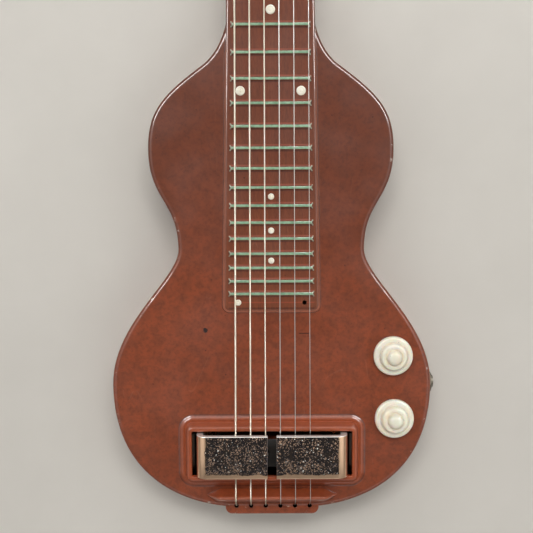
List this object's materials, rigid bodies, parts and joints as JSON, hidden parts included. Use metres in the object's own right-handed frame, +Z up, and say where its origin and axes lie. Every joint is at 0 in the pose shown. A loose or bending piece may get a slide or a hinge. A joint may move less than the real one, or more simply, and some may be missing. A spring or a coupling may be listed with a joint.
{
  "type": "lap steel guitar",
  "caption": "Lap steel guitar with a hollow pressed steel body, pressed frets, horseshoe magnets over the strings and worm-geared tuners.",
  "frame": {"origin": "middle of the outline on the level of the flat back that rests on the bench", "axes": "+X to the treble side, +Y along the strings from the tail to the head, +Z up from the fretboard"},
  "size_m": [0.2336, 0.7542, 0.0546],
  "materials": {
    "brown_enamel": "baked gloss enamel, brown, chipped at a few edges",
    "back_steel": "sheet steel, enamelled brown as the shell",
    "nut_metal": "nickel plated, dulled",
    "magnet_chrome": "chrome plated, finely pitted with brown rust",
    "cream_plastic": "turned cream plastic, darkened in its grooves",
    "dot_plastic": "cream plastic",
    "pole_steel": "plain steel",
    "bobbin_black": "moulded black plastic",
    "coil_winding": "enamelled copper wire",
    "pot_metal": "nickel plated steel",
    "brass": "cut brass",
    "waxed_paper": "waxed paper tube",
    "lead_cloth": "cloth covered lead",
    "tuner_nickel": "nickel plated, worn",
    "wound_string": "steel core wound with flat nickel wire",
    "plain_string": "plain steel wire"
  },
  "bodies": {
    "root": {"body_shell": "brown_enamel", "back_plate": "back_steel", "string_nut": "nut_metal", "magnet_bass": "magnet_chrome", "magnet_treble": "magnet_chrome", "dot_5": "dot_plastic", "dot_7": "dot_plastic", "dot_9": "dot_plastic", "dot_12_bass": "dot_plastic", "dot_12_treble": "dot_plastic", "dot_17": "dot_plastic", "dot_19": "dot_plastic", "dot_21": "dot_plastic", "dot_24_bass": "dot_plastic", "pole_comb": "pole_steel", "pickup_cradle": "pole_steel", "pickup_bobbin": "bobbin_black", "pickup_coil": "coil_winding", "volume_pot": "pot_metal", "tone_pot": "pot_metal", "jack_socket": "pot_metal", "tone_capacitor": "waxed_paper", "pickup_lead": "lead_cloth", "output_lead": "lead_cloth", "tuner_plate_bass": "tuner_nickel", "tuner_plate_treble": "tuner_nickel", "string_1": "wound_string", "string_2": "wound_string", "string_3": "wound_string", "string_4": "plain_string", "string_5": "plain_string", "string_6": "plain_string"},
    "tuner_shaft_1": {"tuner_worm_1": "tuner_nickel", "tuner_button_1": "cream_plastic"},
    "tuner_post_1": {"tuner_post_1": "tuner_nickel", "tuner_gear_1": "brass"},
    "tuner_shaft_2": {"tuner_worm_2": "tuner_nickel", "tuner_button_2": "cream_plastic"},
    "tuner_post_2": {"tuner_post_2": "tuner_nickel", "tuner_gear_2": "brass"},
    "tuner_shaft_3": {"tuner_worm_3": "tuner_nickel", "tuner_button_3": "cream_plastic"},
    "tuner_post_3": {"tuner_post_3": "tuner_nickel", "tuner_gear_3": "brass"},
    "tuner_shaft_4": {"tuner_worm_4": "tuner_nickel", "tuner_button_4": "cream_plastic"},
    "tuner_post_4": {"tuner_post_4": "tuner_nickel", "tuner_gear_4": "brass"},
    "tuner_shaft_5": {"tuner_worm_5": "tuner_nickel", "tuner_button_5": "cream_plastic"},
    "tuner_post_5": {"tuner_post_5": "tuner_nickel", "tuner_gear_5": "brass"},
    "tuner_shaft_6": {"tuner_worm_6": "tuner_nickel", "tuner_button_6": "cream_plastic"},
    "tuner_post_6": {"tuner_post_6": "tuner_nickel", "tuner_gear_6": "brass"},
    "volume_control": {"volume_knob": "cream_plastic", "volume_shaft": "brass"},
    "tone_control": {"tone_knob": "cream_plastic", "tone_shaft": "brass"}
  },
  "joints": [
    {"name": "tuner_button_1_turn", "type": "hinge", "parent": "root", "child": "tuner_shaft_1", "pos_m": [-0.025, 0.25579, 0.0233], "axis": [1, 0, 0], "continuous": true},
    {"name": "tuner_post_1_turn", "type": "hinge", "parent": "root", "child": "tuner_post_1", "pos_m": [-0.025, 0.24705, 0.0233], "axis": [0, 0, 1], "continuous": true},
    {"name": "tuner_button_2_turn", "type": "hinge", "parent": "root", "child": "tuner_shaft_2", "pos_m": [-0.025, 0.29379, 0.0233], "axis": [1, 0, 0], "continuous": true},
    {"name": "tuner_post_2_turn", "type": "hinge", "parent": "root", "child": "tuner_post_2", "pos_m": [-0.025, 0.28505, 0.0233], "axis": [0, 0, 1], "continuous": true},
    {"name": "tuner_button_3_turn", "type": "hinge", "parent": "root", "child": "tuner_shaft_3", "pos_m": [-0.025, 0.33179, 0.0233], "axis": [1, 0, 0], "continuous": true},
    {"name": "tuner_post_3_turn", "type": "hinge", "parent": "root", "child": "tuner_post_3", "pos_m": [-0.025, 0.32305, 0.0233], "axis": [0, 0, 1], "continuous": true},
    {"name": "tuner_button_4_turn", "type": "hinge", "parent": "root", "child": "tuner_shaft_4", "pos_m": [0.025, 0.33179, 0.0233], "axis": [1, 0, 0], "continuous": true},
    {"name": "tuner_post_4_turn", "type": "hinge", "parent": "root", "child": "tuner_post_4", "pos_m": [0.025, 0.32305, 0.0233], "axis": [0, 0, 1], "continuous": true},
    {"name": "tuner_button_5_turn", "type": "hinge", "parent": "root", "child": "tuner_shaft_5", "pos_m": [0.025, 0.29379, 0.0233], "axis": [1, 0, 0], "continuous": true},
    {"name": "tuner_post_5_turn", "type": "hinge", "parent": "root", "child": "tuner_post_5", "pos_m": [0.025, 0.28505, 0.0233], "axis": [0, 0, 1], "continuous": true},
    {"name": "tuner_button_6_turn", "type": "hinge", "parent": "root", "child": "tuner_shaft_6", "pos_m": [0.025, 0.25579, 0.0233], "axis": [1, 0, 0], "continuous": true},
    {"name": "tuner_post_6_turn", "type": "hinge", "parent": "root", "child": "tuner_post_6", "pos_m": [0.025, 0.24705, 0.0233], "axis": [0, 0, 1], "continuous": true},
    {"name": "volume_knob_turn", "type": "hinge", "parent": "root", "child": "volume_control", "pos_m": [0.087, -0.26005, 0.036], "axis": [0, 0, 1], "range_deg": [-150, 150]},
    {"name": "tone_knob_turn", "type": "hinge", "parent": "root", "child": "tone_control", "pos_m": [0.0882, -0.30575, 0.036], "axis": [0, 0, 1], "range_deg": [-150, 150]}
  ],
  "couplings": [
    {"joint": "tuner_post_1_turn", "follows": "tuner_button_1_turn", "ratio": -0.083333},
    {"joint": "tuner_post_2_turn", "follows": "tuner_button_2_turn", "ratio": -0.083333},
    {"joint": "tuner_post_3_turn", "follows": "tuner_button_3_turn", "ratio": -0.083333},
    {"joint": "tuner_post_4_turn", "follows": "tuner_button_4_turn", "ratio": 0.083333},
    {"joint": "tuner_post_5_turn", "follows": "tuner_button_5_turn", "ratio": 0.083333},
    {"joint": "tuner_post_6_turn", "follows": "tuner_button_6_turn", "ratio": 0.083333}
  ]
}
